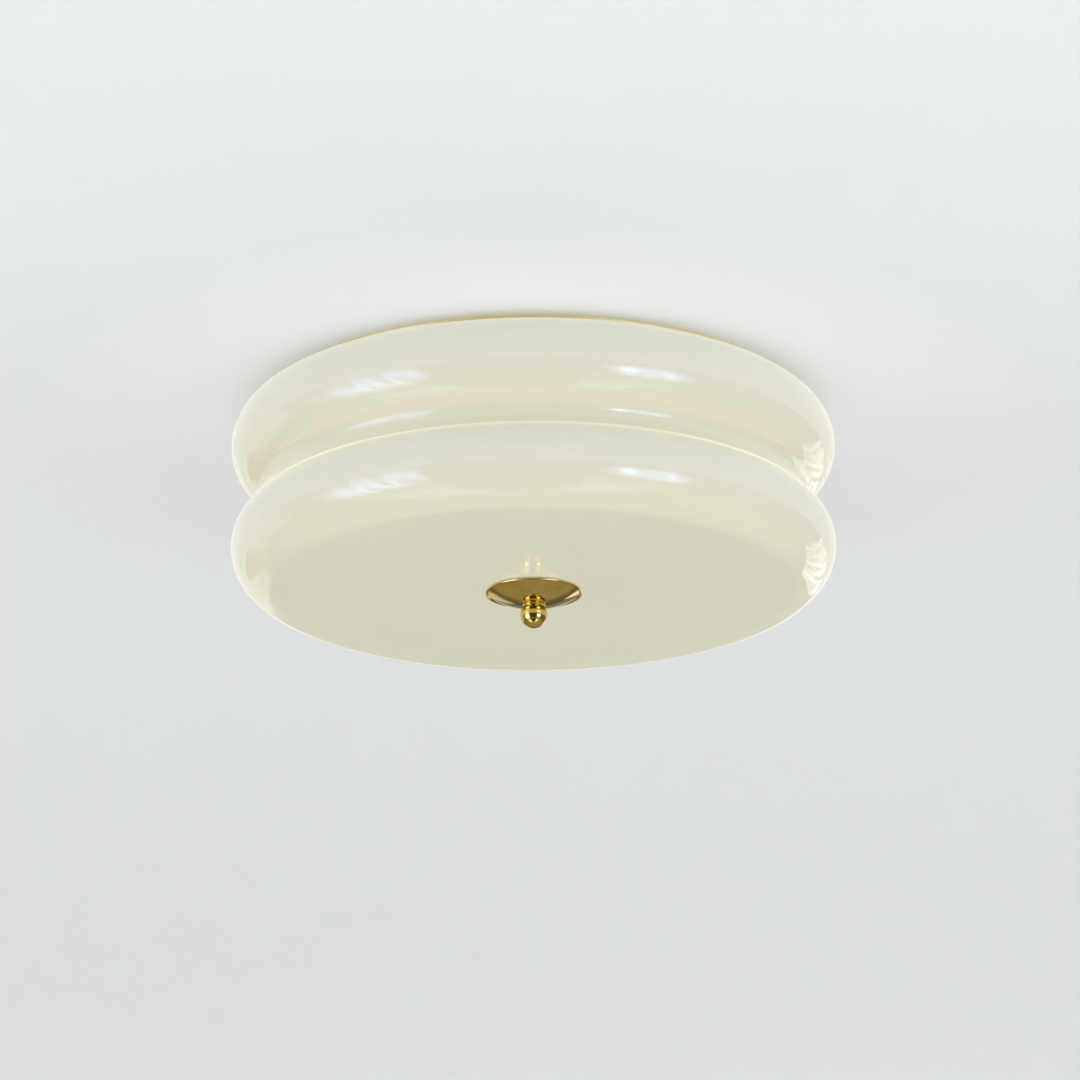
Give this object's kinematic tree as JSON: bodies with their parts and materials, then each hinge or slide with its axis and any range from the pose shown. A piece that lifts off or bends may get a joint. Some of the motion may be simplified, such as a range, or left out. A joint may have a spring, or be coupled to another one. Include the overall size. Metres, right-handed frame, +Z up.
{
  "type": "flush ceiling light",
  "caption": "Flush ceiling light: tiered round opal glass shade under a gold pan, held by a brass cap and ball nut, with screw-in bulbs inside.",
  "frame": {"origin": "centre of the crossbar's top face, on the ceiling and on the light's axis", "axes": "+Z points up into the ceiling, the light hangs towards -Z, -Y is the side that the picture was taken from, and the crossbar and its slots run along X"},
  "size_m": [0.3999, 0.4, 0.1589],
  "materials": {
    "opal_glass": "glossy opal",
    "polished_brass": "mirror polished",
    "gold_paint": "satin gold",
    "zinc_steel": "bright zinc plated",
    "plain_brass": "machined",
    "terminal_plastic": "moulded",
    "porcelain": "glazed",
    "silicone": "translucent silicone",
    "sleeving": "glass-fibre sleeving",
    "earth_sleeving": "green and yellow",
    "nickel": "bright",
    "bulb_plastic": "smooth",
    "bulb_opal": "frosted opal",
    "board": "white coated"
  },
  "bodies": {
    "root": {"crossbar": "zinc_steel", "crossbar_screws": "zinc_steel", "pan_nuts": "zinc_steel", "ceiling_pan": "gold_paint", "pan_gasket": "silicone", "terminal_block": "terminal_plastic", "terminal_sleeves": "plain_brass", "terminal_screws": "zinc_steel", "block_screws": "zinc_steel", "earth_screw": "zinc_steel", "earth_lug": "plain_brass", "earth_wire": "earth_sleeving", "lead_grommet": "silicone", "lamp_lead_1": "sleeving", "lamp_lead_2": "sleeving", "lamp_lead_3": "sleeving", "lamp_bracket_1": "zinc_steel", "lamp_bracket_2": "zinc_steel", "lamp_bracket_3": "zinc_steel", "bracket_screws": "zinc_steel", "bracket_nuts": "zinc_steel", "lampholder_1": "porcelain", "lampholder_2": "porcelain", "lampholder_3": "porcelain", "holder_shell_1": "nickel", "holder_shell_2": "nickel", "holder_shell_3": "nickel", "centre_contacts": "plain_brass", "holder_screws": "zinc_steel", "hanging_rod": "zinc_steel", "rod_nut_upper": "zinc_steel", "rod_nut_lower": "zinc_steel", "rod_lock_washer": "zinc_steel"},
    "shade": {"glass_shade": "opal_glass", "shade_bush": "silicone", "cap_gasket": "silicone"},
    "finial_cap": {"finial_cap": "polished_brass"},
    "finial_nut": {"finial_nut": "polished_brass"},
    "bulb_base_1": {"bulb_cap_1": "nickel"},
    "bulb_1": {"bulb_body_1": "bulb_plastic", "bulb_globe_1": "bulb_opal", "led_board_1": "board"},
    "bulb_base_2": {"bulb_cap_2": "nickel"},
    "bulb_2": {"bulb_body_2": "bulb_plastic", "bulb_globe_2": "bulb_opal", "led_board_2": "board"},
    "bulb_base_3": {"bulb_cap_3": "nickel"},
    "bulb_3": {"bulb_body_3": "bulb_plastic", "bulb_globe_3": "bulb_opal", "led_board_3": "board"}
  },
  "joints": [
    {"name": "shade_drop", "type": "slide", "parent": "root", "child": "shade", "axis": [0, 0, -1], "range_m": [0, 0.16]},
    {"name": "cap_travel", "type": "slide", "parent": "shade", "child": "finial_cap", "axis": [0, 0, -1], "range_m": [0, 0.008]},
    {"name": "nut_turn", "type": "hinge", "parent": "finial_cap", "child": "finial_nut", "pos_m": [0, 0, -0.15], "axis": [0, 0, -1], "range_deg": [0, 2880]},
    {"name": "bulb_travel_1", "type": "slide", "parent": "root", "child": "bulb_base_1", "axis": [0, -1, 0], "range_m": [0, 0.02178]},
    {"name": "bulb_turn_1", "type": "hinge", "parent": "bulb_base_1", "child": "bulb_1", "pos_m": [0, -0.065, -0.06], "axis": [0, -1, 0], "range_deg": [0, 2160]},
    {"name": "bulb_travel_2", "type": "slide", "parent": "root", "child": "bulb_base_2", "axis": [0.866, 0.5, 0], "range_m": [0, 0.02178]},
    {"name": "bulb_turn_2", "type": "hinge", "parent": "bulb_base_2", "child": "bulb_2", "pos_m": [0.05629, 0.0325, -0.06], "axis": [0.866, 0.5, 0], "range_deg": [0, 2160]},
    {"name": "bulb_travel_3", "type": "slide", "parent": "root", "child": "bulb_base_3", "axis": [-0.866, 0.5, 0], "range_m": [0, 0.02178]},
    {"name": "bulb_turn_3", "type": "hinge", "parent": "bulb_base_3", "child": "bulb_3", "pos_m": [-0.05629, 0.0325, -0.06], "axis": [-0.866, 0.5, 0], "range_deg": [0, 2160]}
  ],
  "couplings": [
    {"joint": "nut_turn", "follows": "cap_travel", "rad_per_m": 6283.2},
    {"joint": "bulb_turn_1", "follows": "bulb_travel_1", "rad_per_m": 1730.9},
    {"joint": "bulb_turn_2", "follows": "bulb_travel_2", "rad_per_m": 1730.9},
    {"joint": "bulb_turn_3", "follows": "bulb_travel_3", "rad_per_m": 1730.9}
  ]
}
